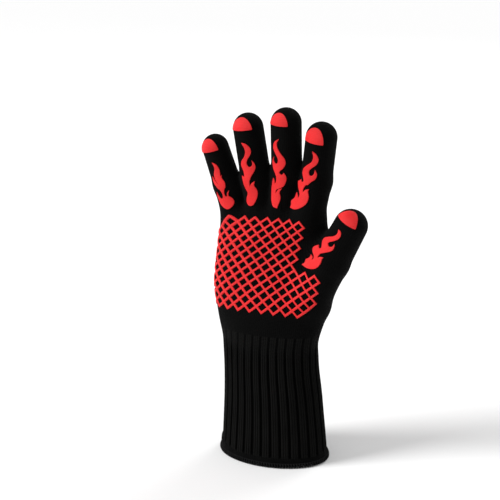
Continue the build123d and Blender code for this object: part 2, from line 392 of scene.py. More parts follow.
def stitch_height(n, wale, course):
    """The V stitches of plain knit: one V in each wale and course."""
    across = n.math("SUBTRACT", n.math("FRACT", wale), 0.5)
    off_middle = n.math("ABSOLUTE", across)
    leg = n.math("MULTIPLY", n.math("SUBTRACT", off_middle, 0.25), 4.0)
    leg_round = n.math("SUBTRACT", 1.0, n.math("MULTIPLY", leg, leg), clamp=True)
    rise = n.math("SUBTRACT", course, n.math("MULTIPLY", off_middle, 1.5))
    turn = n.math("SINE", n.math("MULTIPLY", rise, 2 * math.pi))
    lobe = n.math("ADD", n.math("MULTIPLY", turn, 0.5), 0.5)
    return n.math("MULTIPLY", n.math("SQRT", leg_round), n.math("ADD", n.math("MULTIPLY", lobe, 0.7), 0.3))


def wale_crown_for_painted_shade(n, wale):
    """1 along the middle of each wale, 0 in the valley between two: the mask for the painted highlight on
    the wales and the painted shade between them.
    """
    off_middle = n.math("SUBTRACT", n.math("MULTIPLY", n.math("FRACT", wale), 2.0), 1.0)
    return n.math("SUBTRACT", 1.0, n.math("MULTIPLY", off_middle, off_middle), clamp=True)


def raised_wale_for_painted_shade(n, wale):
    """1 on the raised wales of the rib knit, 0 on the sunk one: the mask for the painted shade in the sunk
    wale.
    """
    return n.math("GREATER_THAN", n.math("FLOORED_MODULO", wale, WALES_IN_RIB), 1.0)


def knit_material(name, dark, light, bump, ribbed):
    """Black knit: V stitches in relief and yarn fuzz, with light painted into the colour: painted highlights
    on the stitch tops, the wale crowns and the fuzz, painted shade in the valleys between wales and, on the
    rib knit, in the sunk wale. A cloudy tone varies at random.
    """
    n = Nodes(name)
    place = n.object_place()
    wale, course = knit_place(n)
    yarn = stitch_height(n, wale, course)
    fuzz = n.noise(place, 2600, 3, 0.65)
    cloudy = n.noise(place, 45, 2)
    # painted light: the tone follows the stitch height and the wale crown, so stitch tops get a painted
    # highlight and the valleys between wales painted shade
    tone = n.math("MULTIPLY", yarn, n.math("ADD", n.math("MULTIPLY", wale_crown_for_painted_shade(n, wale), 0.7), 0.3))
    # painted sheen: the fine fuzz noise lightens the colour in flecks
    tone = n.math("ADD", n.math("MULTIPLY", tone, 0.75), n.math("MULTIPLY", fuzz, 0.3))
    tone = n.math("ADD", tone, n.math("MULTIPLY", n.math("SUBTRACT", cloudy, 0.5), 0.25))
    # painted shade: the sunk wale of the rib knit is darkened
    if ribbed:
        tone = n.math("MULTIPLY", tone, n.math("ADD", n.math("MULTIPLY", raised_wale_for_painted_shade(n, wale), 0.6), 0.4))
    # the dark colour is the yarn in painted shade, the light colour its painted highlights
    n.feed(n.shader, {
        "Base Color": n.ramp(tone, [(0.25, dark), (0.85, light)]),
        "Roughness": n.ramp(yarn, [(0.0, (0.98,) * 3), (1.0, (0.78,) * 3)]),
        "Specular IOR Level": 0.03,
        "Sheen Weight": 0.01,
        "Sheen Roughness": 0.5,
        "Normal": n.bump(yarn, bump, 0.0006, n.bump(fuzz, 0.35, 0.00015))})
    return n.material


def silicone_material():
    """Red silicone on knit: satin, with a fine grain, and the stitches faintly showing in the colour, partly
    seen through the silicone and partly as painted shade between their tops.
    """
    n = Nodes("red silicone")
    place = n.object_place()
    yarn = stitch_height(n, *knit_place(n))
    grain = n.noise(place, 1500, 3, 0.6)
    cloudy = n.noise(place, 60, 2)
    # the stitches in the colour: partly seen through the silicone, partly painted shade between the stitch
    # tops
    tone = n.math("ADD", n.math("MULTIPLY", yarn, 0.3), n.math("MULTIPLY", grain, 0.3))
    tone = n.math("ADD", tone, n.math("MULTIPLY", cloudy, 0.35))
    n.feed(n.shader, {
        "Base Color": n.ramp(tone, [(0.25, (0.55, 0.008, 0.01)), (0.85, (0.92, 0.028, 0.03))]),
        "Roughness": n.ramp(grain, [(0.2, (0.42,) * 3), (0.8, (0.6,) * 3)]),
        "Specular IOR Level": 0.22,
        "Subsurface Weight": 0.12,
        "Subsurface Radius": (0.0016, 0.0005, 0.0004),
        "Subsurface Scale": 1.0,
        "Normal": n.bump(yarn, 0.6, 0.0005, n.bump(grain, 0.3, 0.00012))})
    return n.material


def lining_material():
    """Charcoal cotton with a fine fuzz."""
    n = Nodes("cotton lining")
    fuzz = n.noise(n.object_place(), 1400, 4, 0.7)
    n.feed(n.shader, {
        "Base Color": n.ramp(fuzz, [(0.3, (0.018,) * 3), (0.8, (0.05, 0.05, 0.052))]),
        "Roughness": 0.95,
        "Specular IOR Level": 0.15,
        "Normal": n.bump(fuzz, 0.6, 0.0006)})
    return n.material


def thread_material():
    """Black twisted thread."""
    n = Nodes("overlock thread")
    twist = n.noise(n.object_place(), 1800, 2, 0.5)
    n.feed(n.shader, {
        "Base Color": n.ramp(twist, [(0.3, (0.0012,) * 3), (0.75, (0.009, 0.009, 0.0095))]),
        "Roughness": 0.7,
        "Specular IOR Level": 0.1,
        "Normal": n.bump(twist, 0.5, 0.0003)})
    return n.material


# each knit's colours run from the yarn in painted shade to its painted highlights
KNIT = knit_material("black knit", (0.0002,) * 3, (0.0046, 0.0046, 0.0045), 0.6, False)
RIB_KNIT = knit_material("black rib knit", (0.0001,) * 3, (0.0098, 0.0098, 0.0092), 0.7, True)
SILICONE = silicone_material()
LINING = lining_material()
THREAD = thread_material()


# ---- the hand's knit shell -----------------------------------------------------------------------
SHELL_STEP = 0.9                            # size of the shell's quads
UP = unit(np.array([-0.04, 0.0, 1.0]))      # square to the knuckle line, which rises a little


def height(p):
    """Height of points square to the knuckle line."""
    return p @ UP


def thumb_marks():
    """Points on the thumb's centre line where its bends start and end."""
    low, mid, _, t1, t2, _, _ = digit_line("thumb")
    start, *rest = THUMB_BENDS
    return (low + start * t1, *(mid + length * t2 for length in rest))


THUMB_MARKS = thumb_marks()


def along(p, start, end):
    """How far points are from start to end, 0 at start and 1 at end."""
    return (p - start) @ (end - start) / ((end - start) @ (end - start))


def past_split(p, name):
    """Which points are past the middle of the straight stretch between a digit's two bends."""
    if name == "thumb":
        split = (THUMB_MARKS[1] + THUMB_MARKS[2]) / 2
        return (p - split) @ (THUMB_MARKS[3] - THUMB_MARKS[2]) > 0
    return height(p) > (KNUCKLE_BEND[1] + MIDDLE_BEND[name][0]) / 2


def label_points(p):
    """The body that each point of the hand's surface belongs to."""
    label = np.full(len(p), "palm", dtype=object)
    near = np.stack([digit(p, name) for name in FINGERS])
    which = near.argmin(0)
    for i, name in enumerate(FINGERS):
        mine = (which == i) & (height(p) > KNUCKLE_BEND[0])
        label[mine] = name + "_lower"
        label[mine & past_split(p, name)] = name + "_upper"
    thumb = (digit(p, "thumb") < np.minimum(trunk(p), near.min(0))) & (along(p, *THUMB_MARKS[:2]) > 0)
    label[thumb] = "thumb_lower"
    label[thumb & past_split(p, "thumb")] = "thumb_upper"
    return label


def bend(piece, body):
    """Bake a piece of fabric's place into its mesh. The span of its body's joint is worked out but not used,
    so the piece does not bend.
    """
    if body in ("cuff", "palm"):
        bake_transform(piece)
        return
    name, part = body.rsplit("_", 1)
    if name == "thumb":
        start, end = THUMB_MARKS[:2] if part == "lower" else THUMB_MARKS[2:]
    else:
        span = KNUCKLE_BEND if part == "lower" else MIDDLE_BEND[name]
        start, end = span[0] * UP, span[1] * UP
    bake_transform(piece)


def knit_corners(p, faces, body):
    """Knit coordinates for each corner of each face: whole faces take the palm side's or the back's."""
    corner = p[faces]
    centre = corner.mean(1)
    if body in ("cuff", "palm"):
        uv = knit_of_trunk(corner)
        jump = np.round(uv[..., 0] - uv[:, :1, 0])
        uv[..., 0] -= np.where(np.abs(jump) > 20, jump, 0)
        return uv
    name = body.rsplit("_", 1)[0]
    turn = on_digit(centre, name, -1)[0] / GIRTH_R
    is_back = np.abs(turn) > math.pi / 2
    front_uv = knit_of_digit(corner, name, -1)
    back_uv = knit_of_digit(corner, name, 1)
    return np.where(is_back[:, None, None], back_uv, front_uv)


def make_hand():
    """The knit shell from the wrist to the fingertips, one piece for each body."""
    low, high = (-74, -36, CUFF_TOP - 3), (98, 30, 348)
    points, faces = field_mesh(hand, low, high, SHELL_STEP)
    above = (points[faces][..., 2] > CUFF_TOP).any(1)
    points, faces, _ = used_only(points, faces[above])
    under = points[:, 2] < CUFF_TOP + 0.15
    points[under, 2] = CUFF_TOP
    for _ in range(3):
        g = gradient(hand, points[under])
        g[:, 2] = 0
        points[under] -= (hand(points[under]) / (g * g).sum(-1))[:, None] * g
    normals = unit(gradient(hand, points, 0.4))
    label = label_points(points[faces].mean(1))
    pieces = {}
    for body in sorted(set(label)):
        p, f, (n,) = used_only(points, faces[label == body], normals)
        piece = new_piece("shell_" + body, p, f, KNIT, n, knit_corners(p, f, body))
        bend(piece, body)
        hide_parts(body + "_knit")
        pieces[body] = piece
    return pieces


WEB_GAP = 0.15               # a web's wall stands this far off its neighbour's
WEB_LOW, WEB_HIGH = np.array([-16, -22, KNUCKLE_BEND[0] - 6]), np.array([16, 18, KNUCKLE_BEND[1] + 14])
WEB_UNDER = 0.05             # and this far inside the knit's face


def make_web(own, other):
    """The wall of knit that closes a finger towards its neighbour."""
    def wall(p):
        return digit(p, own) - digit(p, other) + 2 * WEB_GAP
    middle = np.array([(DIGITS[own][0][0] + DIGITS[other][0][0]) / 2, 0, 0])
    points, faces = field_mesh(wall, middle + WEB_LOW, middle + WEB_HIGH, SHELL_STEP)
    centre = points[faces].mean(1)
    inside = (hand(centre) < -WEB_UNDER) & (height(centre) > KNUCKLE_BEND[0] - SHELL_STEP)
    p, f, _ = used_only(points, faces[inside])
    body = own + "_lower"
    piece = new_piece(f"web_{own}_{other}", p, f, KNIT, None, knit_corners(p, f, body))
    bend(piece, body)
    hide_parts(body + "_knit")


def points_of(pieces):
    """All points of the given pieces, in millimetres."""
    return np.concatenate([np.array([v.co for v in piece.data.vertices]) for piece in pieces.values()]) / MM


# ---- the ribbed cuff -----------------------------------------------------------------------------
RIBS = 30
STEPS_IN_WALE = 6
RIB_START, RIB_END = 8.5, 120.0
WALE_RAISE = 0.75            # a raised wale's crown
GROOVE = 1.5                 # depth of the sunk wale
RIB_FADE = (3.0, 16.0)       # the relief fades in and out over these heights


def trunk_ring(z, fractions):
    """Points and outward normals of the trunk's section at a height, at equal lengths round it."""
    row = int(round((z - GIRTH_Z[0]) / (GIRTH_Z[1] - GIRTH_Z[0])))
    length = GIRTH[row] - GIRTH[row][0]
    turn = np.interp(np.mod(fractions, 1) * length[-1], length, GIRTH_TURN)
    xc, a, b, n = [float(c[0]) for c in smooth_rows(TRUNK, np.array([z]))]
    across, out = section_point(turn, a, b, n)
    p = np.stack([xc + across, -out, np.full_like(out, z)], -1)
    return p, unit(gradient(trunk, p, 0.5))


def beside_trunk(z, fractions, out):
    """Points round the trunk's section, moved level out of it."""
    ring, normal = trunk_ring(z, fractions)
    return ring + normal * np.reshape(out, (-1, 1)) * np.array([1, 1, 0])


def rib_height(place, z):
    """Relief of the rib knit at a place counted in wales."""
    wale = np.mod(place, WALES_IN_RIB)
    crown = np.sqrt(np.clip(1 - (2 * np.mod(place, 1) - 1) ** 2, 0, 1))
    raised = WALE_RAISE * (crown - 0.55)
    sunk = -GROOVE + 0.35 * (crown - 0.5)
    relief = np.where(wale < 1, sunk, raised)
    outer = np.minimum(np.abs(wale - 1), np.abs(wale - WALES_IN_RIB))
    relief = np.where((wale >= 1) & (outer < 0.5), relief - 0.45 * (1 - outer / 0.5), relief)
    bottom = np.clip((z - RIB_START) / RIB_FADE[0], 0, 1)
    top = np.clip((RIB_END - z) / RIB_FADE[1], 0, 1)
    return relief * (top * top * (3 - 2 * top) * bottom)


def grid_faces(rows, columns, closed=True):
    """Quads of a grid whose rows go round."""
    last = columns if closed else columns - 1
    r, c = np.meshgrid(np.arange(rows - 1), np.arange(last), indexing="ij")
    r, c = r.ravel(), c.ravel()
    nxt = (c + 1) % columns
    low, high = r * columns, (r + 1) * columns
    return np.stack([low + c, low + nxt, high + nxt, high + c], -1)


def grid_uv(rows, columns, u, v):
    """Corner coordinates for grid_faces: u for each column edge (one more than columns), v for each row."""
    r, c = np.meshgrid(np.arange(rows - 1), np.arange(columns), indexing="ij")
    r, c = r.ravel(), c.ravel()
    us = np.stack([u[c], u[c + 1], u[c + 1], u[c]], -1)
    vs = np.stack([v[r], v[r], v[r + 1], v[r + 1]], -1)
    return np.stack([us, vs], -1)


def make_cuff():
    """The ribbed knit from the hem to the wrist, with its ribs in real relief."""
    columns = RIBS * WALES_IN_RIB * STEPS_IN_WALE
    place = np.arange(columns) / STEPS_IN_WALE
    # each wale is sampled edge to edge, so that the gaps between wales stay sharp
    place = np.floor(place) + 0.5 - 0.5 * np.cos(math.pi * np.mod(place, 1))
    fractions = place / (RIBS * WALES_IN_RIB)
    heights = np.concatenate([np.arange(5.0, 14, 0.6), np.arange(14, CUFF_TOP, 1.1), [CUFF_TOP]])
    rows = []
    for z in heights:
        ring, out = trunk_ring(z, fractions)
        wander = 0.25 * np.sin(z / 17 + 6 * math.pi * fractions) * np.clip((CUFF_TOP - z) / 20, 0, 1)
        rows.append(ring + out * (rib_height(place, z) + wander)[:, None])
    points = np.concatenate(rows)
    faces = grid_faces(len(heights), columns)
    u = np.append(place, RIBS * WALES_IN_RIB)
    uv = grid_uv(len(heights), columns, u, heights / COURSE)
    cuff = new_piece("cuff_ribs", points, faces, RIB_KNIT, None, uv)
    bend(cuff, "cuff")
    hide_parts("cuff_knit")


HEM_LIFT = 0.9               # on the little finger's side the hem stands this much taller
HEM_FLARE = 0.6


def make_hem():
    """The turned hem: a plain rolled band round the mouth."""
    profile = [(-3.6, 9.5), (-3.4, 3.6), (-2.9, 2.3), (-1.6, 1.6), (-0.2, 1.6), (0.6, 2.3), (1.05, 3.8),
               (1.1, 5.8), (0.8, 7.7), (0.2, 8.9), (-0.9, 9.6)]
    out_high = smooth_profile(profile, 40)
    columns = 480
    fractions = np.arange(columns) / columns
    rows = []
    for out, z in out_high:
        ripple = 0.12 * np.sin(2 * math.pi * fractions * RIBS) * np.clip(z / 9, 0, 1)
        ring = beside_trunk(z, fractions, out + ripple)
        left = np.clip(-ring[:, 0] / np.abs(ring[:, 0]).max(), 0, 1) ** 5
        ring[:, 2] = z * (1 + HEM_LIFT * left)
        ring[:, 0] -= HEM_FLARE * left * np.sin(math.pi * np.clip(z / 9.6, 0, 1))
        rows.append(ring)
    u = np.arange(columns + 1) / columns * RIBS * WALES_IN_RIB
    step = np.append(0, np.cumsum(np.hypot(*np.diff(out_high, axis=0).T)))
    faces = grid_faces(len(rows), columns)
    uv = grid_uv(len(rows), columns, u, step / COURSE)
    hem = new_piece("cuff_hem_band", np.concatenate(rows), faces, KNIT, None, uv)
    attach(hem, "cuff")
    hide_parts("cuff_hem")


def smooth_profile(points, count):
    """A smooth line through a few points."""
    p = np.array(points, float)
    t = np.append(0, np.cumsum(np.hypot(*np.diff(p, axis=0).T)))
    s = np.linspace(0, t[-1], count)
    return np.stack(smooth_rows(np.column_stack([t, p]), s), -1)


def tube_along(path, radius, sides, closed=False):
    """Points and quads of a round tube along a path."""
    path = np.asarray(path)
    if closed:
        tangent = np.roll(path, -1, 0) - np.roll(path, 1, 0)
    else:
        tangent = np.gradient(path, axis=0)
    tangent = unit(tangent)
    side = unit(np.cross(tangent, np.array([0.31, 0.17, 0.94])))
    third = np.cross(tangent, side)
    turn = np.linspace(0, 2 * math.pi, sides, endpoint=False)
    ring = np.cos(turn)[None, :, None] * side[:, None] + np.sin(turn)[None, :, None] * third[:, None]
    points = (path[:, None] + radius * ring).reshape(-1, 3)
    faces = grid_faces(len(path) + (1 if closed else 0), sides)
    return points, np.mod(faces, len(points))


def joined(parts):
    """One mesh's points and quads from several."""
    starts = np.cumsum([0] + [len(points) for points, _ in parts])
    faces = [faces + start for (_, faces), start in zip(parts, starts)]
    return np.concatenate([points for points, _ in parts]), np.concatenate(faces)


def make_overlock():
    """Overlock thread: a slanted loop over the hem's edge at every stitch, joined inside and outside."""
    loops = 112
    arc = smooth_profile([(1.4, 4.8), (2.0, 2.6), (1.7, 1.0), (-0.6, 0.72), (-2.4, 1.2), (-3.2, 2.6)], 15)
    lean = np.linspace(0, 0.7, len(arc))
    parts = []
    for i in range(loops):
        path = [beside_trunk(z, np.array([f]), out)[0] for (out, z), f in zip(arc, (i + lean) / loops)]
        parts.append(tube_along(path, 0.7, 7))
    f = np.arange(loops * 4) / (loops * 4)
    for out, z in ((1.45, 4.7), (-3.1, 2.3)):
        path = beside_trunk(z, f, out + 0.1 * np.cos(2 * math.pi * f * loops))
        path[:, 2] += 0.3 * np.sin(2 * math.pi * f * loops)
        parts.append(tube_along(path, 0.34, 7, closed=True))
    piece = new_piece("cuff_overlock", *joined(parts), THREAD)
    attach(piece, "cuff")


# ---- linings -------------------------------------------------------------------------------------
LINING_IN = 1.7              # the lining lies this far inside the knit's face
LINING_LOW = 228             # a finger's lining starts at this height, inside the palm's


def lining_uv(points, faces):
    """Knit coordinates for a lining's corners."""
    return np.stack([points[faces][..., 0] / WALE, points[faces][..., 2] / COURSE], -1)


def make_cuff_lining():
    """The lining inside the cuff, from the hem up past the wrist."""
    heights = np.linspace(4.0, 150, 60)
    columns = 180
    fractions = np.arange(columns) / columns
    rows = []
    for z in heights:
        ring, out = trunk_ring(z, fractions)
        rows.append(ring - out * (LINING_IN + 1.6))
    points = np.concatenate(rows)
    faces = grid_faces(len(heights), columns)
    piece = new_piece("cuff_lining_tube", points, faces, LINING, None, lining_uv(points, faces))
    bend(piece, "cuff")
    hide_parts("cuff_lining")


def make_hand_linings():
    """The lining of each body: the palm's bag, and a whole tube for each length of a digit."""
    def inner_palm(p):
        base = np.maximum(digit(p, "thumb"), along(p, *THUMB_MARKS[:2]) * 23 - 4)
        return smooth_min(trunk(p), base, 8) + LINING_IN
    points, faces = field_mesh(inner_palm, (-62, -30, 146), (74, 26, 250), 2.0)
    add_lining("palm", points, faces)
    for name in DIGITS:
        def inner(p, name=name):
            return digit(p, name) + LINING_IN
        centres = np.array(DIGITS[name], float)
        reach = centres[:, 3:].max() + 2
        low, high = centres[:, :3].min(0) - reach, centres[:, :3].max(0) + reach
        points, faces = field_mesh(inner, low, high, 1.6)
        centre = points[faces].mean(1)
        far = past_split(centre, name)
        if name == "thumb":
            near = along(centre, *THUMB_MARKS[:2]) > -0.5
        else:
            near = height(centre) > LINING_LOW
        add_lining(name + "_lower", points, faces[near & ~far])
        add_lining(name + "_upper", points, faces[far])


def add_lining(body, points, faces):
    """Make one body's lining."""
    p, f, _ = used_only(points, faces)
    piece = new_piece("lining_" + body, p, f, LINING, None, lining_uv(p, f))
    bend(piece, body)
    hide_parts(body + "_lining")


# ---- silicone prints -----------------------------------------------------------------------------
PRINT_PROUD = 0.85           # a print stands this far out of the knit
PRINT_SUNK = 0.35            # and reaches this far into it
PRINT_ROUND = 0.55           # rounding of its edge
PRINT_STEP = 0.38
LATTICE_STEP = 0.44

# Flame outlines: girth and length in millimetres on the digit. A third value marks a sharp point.
FLAMES = {
    "ring": [
        (-1, 11), (-5.5, 11), (-8, 14.5), (-6.5, 19), (-4.5, 23), (-6, 27), (-7, 32), (-7, 36.5),
        (-7.5, 41, 1), (-4.5, 39.5, 1), (-5, 45), (-7, 50), (-6, 54.5), (-2.5, 58.5), (-0.5, 62.5),
        (-0.5, 67), (-3, 72.5, 1), (1.5, 71), (4.8, 67), (5, 62.5), (3, 59), (0.5, 56), (-0.5, 52),
        (1.5, 49), (4.5, 51), (4.3, 55.5, 1), (6.8, 51.7), (7, 47.8), (5, 44), (2, 40), (0, 35),
        (-0.7, 29, 1), (1, 32), (4.7, 34.5, 1), (3.5, 30), (5.5, 25.5), (5.3, 20.5), (3, 15.5)],
    "middle": [
        (0.4, 8.4, 1), (-3.8, 9.2), (-6.5, 13.3), (-7.7, 19.4), (-8.6, 25.8), (-8.4, 31.4), (-7.1, 36.4, 1),
        (-5.5, 34.3), (-4.9, 30.8, 1), (-3.5, 35), (-4.7, 41.8), (-8.2, 47.6), (-9.7, 52.9),
        (-7.2, 59.3, 1), (-7.8, 54.8), (-5.4, 51.9), (-3.1, 53.3), (-2.9, 57.3), (-5.6, 61.8),
        (-8, 66.8), (-6.5, 72.3), (-1, 76.3, 1), (-3.4, 72.3), (-3.3, 68), (-0.2, 62.7), (3.6, 57.7),
        (4.6, 53.3), (2.7, 48.9), (-0.3, 45.9), (-0.9, 43.6), (1.2, 42.4), (2.9, 44.5, 1), (4.9, 41),
        (5.5, 35.9), (3.9, 30.7), (0.3, 27.9), (-2.6, 25.6), (-2.9, 22.3, 1), (-0.9, 26.4),
        (2.7, 28.6, 1), (0.9, 24.2), (2.2, 19.8), (2, 15.5), (1, 11.8)],
    "index": [
        (-14.6, 9.2, 1), (-15.3, 12.7), (-15.6, 16.8), (-14.2, 21), (-14.2, 25.5, 1), (-11, 24),
        (-9.2, 21.6, 1), (-8.2, 25), (-10, 28), (-13.4, 31), (-14.6, 35.5), (-13, 39.6), (-10.5, 42.1, 1),
        (-9.6, 40.4), (-8, 40.2), (-7, 41.9), (-8.4, 44.7), (-10.8, 48.3), (-9.9, 52.9), (-5.5, 57.5),
        (-1.8, 61.2), (-0.6, 65), (-1, 68.4), (-2.2, 71.7, 1), (1.8, 69.5), (4.4, 65), (3.4, 60.3),
        (-0.4, 56), (-2.6, 53.2), (-3, 50.6), (-1.9, 48.7), (-0.2, 48.5), (1.7, 50.6), (2.3, 54.9, 1),
        (4.5, 50.9), (3.8, 46.4), (-0.1, 42.2), (-3.7, 36.6), (-5.7, 32.2), (-5.2, 29.1, 1),
        (-3.2, 32.3), (0.2, 34.2, 1), (-0.6, 31.5), (1.2, 27), (1.1, 21.6), (-1.2, 17), (-5, 13), (-10, 10)],
    "little": [
        (0, 9), (-5, 12), (-8, 17), (-8.7, 22.5), (-7, 27.5, 1), (-6.2, 23.7), (-4.2, 20), (-1.6, 21.3),
        (-1.4, 26.4), (-4.8, 33), (-8, 38.5), (-7.6, 44.5, 1), (-5, 39), (-1.8, 35.5, 1), (-4.6, 40.5),
        (-4.2, 45.8), (-1.4, 51.5), (-2.5, 57.5, 1), (1.9, 54), (3.3, 48.6), (2.4, 42.8),
        (5.3, 45.3, 1), (3, 41.3), (4.6, 36.4), (3.6, 31), (1.5, 26.4), (1.2, 22), (2.8, 21.6),
        (3.8, 24.5), (6.9, 27, 1), (5, 23.7), (4.8, 21.2), (7.7, 18.5), (8.6, 14.3), (5.3, 10.7)],
    "thumb": [
        (-15.8, 27.7, 1), (-15.6, 31.2), (-16.2, 34.5), (-15.3, 38.2), (-15.4, 40), (-16.2, 41.8, 1),
        (-13.6, 41.6), (-12.5, 38.7, 1), (-11.7, 41.4), (-12.8, 43.4), (-16, 44.6), (-17.9, 47.2),
        (-18, 50.4), (-16.6, 53.5, 1), (-14.7, 52.3), (-12.3, 53), (-11.6, 55.2), (-13.2, 57.2),
        (-15.2, 59.6), (-15, 63.2), (-11.2, 67.4), (-5.7, 73), (-4.2, 77.2), (-5.2, 81.2, 1), (-2.1, 80.3),
        (-0.6, 76.8), (-1.2, 72.9), (-4, 68.5), (-6.8, 65), (-7, 63), (-5.3, 61.9), (-3.5, 62.5),
        (-2.3, 64.6), (-2.1, 67.5, 1), (-0.9, 65), (-0.8, 61.4), (-2.4, 58), (-6, 53.5), (-8.5, 50.4),
        (-9, 47.5), (-8.6, 45.5, 1), (-7.2, 48), (-4.3, 49.8, 1), (-4.6, 47.2), (-3.8, 44), (-4.2, 39.6),
        (-5.8, 35.3), (-8.8, 31.7), (-12.5, 28.7)],
}
# half-moon pads: offset round the tip, half width, rise over the tip, and lift along the digit
PADS = {"little": (-2.5, 10.2, 56, -0.8), "ring": (-2.2, 11.6, 57, 1.0), "middle": (-3.4, 10.3, 52, 0.5),
        "index": (-3.5, 10.6, 48, -2.5), "thumb": (-4.6, 13.0, 78, 5.4)}
BACK_PAD_RISE = 48           # most that a pad on the back rises over the tip

# Lattice: the middle of one cell, the steps to the next cell down and up to the right, and how those
# steps change over the filled-out hand, in girth and height on the palm
CELL_START = np.array([-3.15, 198.8])
STEP_DOWN = np.array([4.72, -5.17])
STEP_UP = np.array([6.91, 5.4])
BOW_DOWN, BOW_UP, BOW_BOTH = np.array([[0.015, -0.047], [-0.053, -0.054], [-0.028, -0.013]])
STRIP = 2.1                  # width of a strip
LATTICE_WRAP = 63.0          # the lattice ends this far round the little finger's edge
EMBLEM = np.array([-3.0, 189.0])
EMBLEM_R = 29.0
CLEARING = 2.6               # between the emblem and the lattice


def outline(points, steps=7):
    """A closed smooth line through points, with corners at the marked ones."""
    p = np.array([q[:2] for q in points], float)
    sharp = np.array([len(q) > 2 for q in points])
    count = len(p)
    line = []
    for i in range(count):
        a, b = p[i], p[(i + 1) % count]
        before, after = p[i - 1], p[(i + 2) % count]
        ta = (b - a) if sharp[i] else (b - before) / 2
        tb = (b - a) if sharp[(i + 1) % count] else (after - a) / 2
        for s in np.arange(steps) / steps:
            line.append(curve(s, a, b, ta, tb))
    return np.array(line)


class FlatShape:
    """Signed distance to a flat shape, kept on a fine grid and read between its points."""

    def __init__(self, low, high, distance, step=0.2):
        self.low, self.step = np.array(low, float), step
        count = np.ceil((np.array(high) - self.low) / step).astype(int) + 1
        x, y = (self.low[i] + step * np.arange(count[i]) for i in range(2))
        self.values = distance(np.stack(np.meshgrid(x, y, indexing="ij"), -1))

    def __call__(self, x, y):
        return read_table(self.values, (x - self.low[0]) / self.step, (y - self.low[1]) / self.step)


def polygon_distance(line):
    """Signed distance to a closed line, negative inside."""
    a, b = line, np.roll(line, -1, 0)

    def distance(q):
        best = np.full(q.shape[:-1], 1e9)
        inside = np.zeros(q.shape[:-1], bool)
        for (ax, ay), (bx, by) in zip(a, b):
            px, py, ex, ey = q[..., 0] - ax, q[..., 1] - ay, bx - ax, by - ay
            t = np.clip((px * ex + py * ey) / (ex * ex + ey * ey + 1e-12), 0, 1)
            best = np.minimum(best, np.hypot(px - t * ex, py - t * ey))
            crosses = (ay > q[..., 1]) != (by > q[..., 1])
            inside ^= crosses & (q[..., 0] < ex * (q[..., 1] - ay) / (ey if ey else 1e-9) + ax)
        return np.where(inside, -best, best)
    return distance


def lattice_cells():
    """The cells of the lattice, counted down and up to the right from its middle."""
    cells = []
    for up in range(-12, 7):
        for down in range(-14, 15):
            field = -7 <= down - up <= 8 and -7 <= down <= 8
            top_right = down + up <= 5 or up <= 2
            heel_block = (up, down) in ((3, 5), (3, 6), (3, 7), (4, 6))
            if field and (top_right or heel_block):
                cells.append((down, up))
    return cells


def lattice_distance():
    """Signed distance to the crossed strips, over girth and height."""
    turn = np.linalg.inv(np.column_stack([STEP_DOWN, STEP_UP]))
    area = abs(STEP_DOWN[0] * STEP_UP[1] - STEP_DOWN[1] * STEP_UP[0])
    wide = np.array([area / np.linalg.norm(STEP_UP), area / np.linalg.norm(STEP_DOWN)])
    cells = lattice_cells()

    def distance(q):
        ij = (q - CELL_START) @ turn.T
        for _ in range(4):
            down, up = ij[..., :1], ij[..., 1:]
            bow = down * down * BOW_DOWN + up * up * BOW_UP + down * up * BOW_BOTH
            ij = (q - CELL_START - bow) @ turn.T
        to_line = np.abs(np.abs(ij - np.round(ij)) - 0.5) * wide
        region = np.full(q.shape[:-1], 1e9)
        for cell in cells:
            off = np.abs(ij - np.array(cell)) * wide - (wide + STRIP) / 2
            region = np.minimum(region, off.max(-1))
        return np.maximum(to_line.min(-1) - STRIP / 2, region)
    return distance


def relief(flat):
    """A print's field: the flat shape, as thick as a print, laid on the hand."""
    middle, half = (PRINT_PROUD - PRINT_SUNK) / 2, (PRINT_PROUD + PRINT_SUNK) / 2

    def field(p):
        return smooth_max(np.abs(hand(p) - middle) - half, flat(p), PRINT_ROUND)
    return field


def reach_of(flat, margin=1.5):
    """The box of the hand's surface that a flat shape covers."""
    p = HAND_POINTS[flat(HAND_POINTS) < 1.0]
    return p.min(0) - margin, p.max(0) + margin


def print_mesh(flat, step=PRINT_STEP):
    """The mesh and normals of a print."""
    low, high = reach_of(flat)
    points, faces = field_mesh(relief(flat), low, high, step, polish=1)
    normals = unit(gradient(relief(flat), points, 0.12))
    return points, faces, normals


def add_print(name, body, points, faces, normals, node):
    """Make one silicone piece on a body, in place of a CAD node."""
    p, f, (n,) = used_only(points, faces, normals)
    piece = new_piece(name, p, f, SILICONE, n, knit_corners(p, f, body))
    if body == "palm":
        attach(piece, "palm")
    else:
        bend(piece, body)
    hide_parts(node)


def make_flame(name, side, word):
    """One flame, in two pieces that meet between the digit's two bends."""
    line = outline(FLAMES[name])
    if side > 0:
        line[:, 0] -= line[:, 0].mean()
    shape = FlatShape(line.min(0) - 3, line.max(0) + 3, polygon_distance(line))

    def flat(p):
        u, v = on_digit(p, name, side)
        far = np.maximum(np.abs(u) - 0.62 * math.pi * GIRTH_R, 0)
        others = others_nearer(p, name)
        return np.maximum(shape(u, v) + far, others)
    points, faces, normals = print_mesh(flat)
    far = past_split(points[faces].mean(1), name)
    node = f"{name}_flame_{word}"
    add_print(f"flame_{name}_{word}_low", name + "_lower", points, faces[~far], normals, node)
    add_print(f"flame_{name}_{word}_high", name + "_upper", points, faces[far], normals, node)


def others_nearer(p, name):
    """Positive where another digit is much nearer than this one."""
    own = digit(p, name)
    rest = np.min([digit(p, other) for other in DIGITS if other != name], 0)
    return own - rest - 3.0


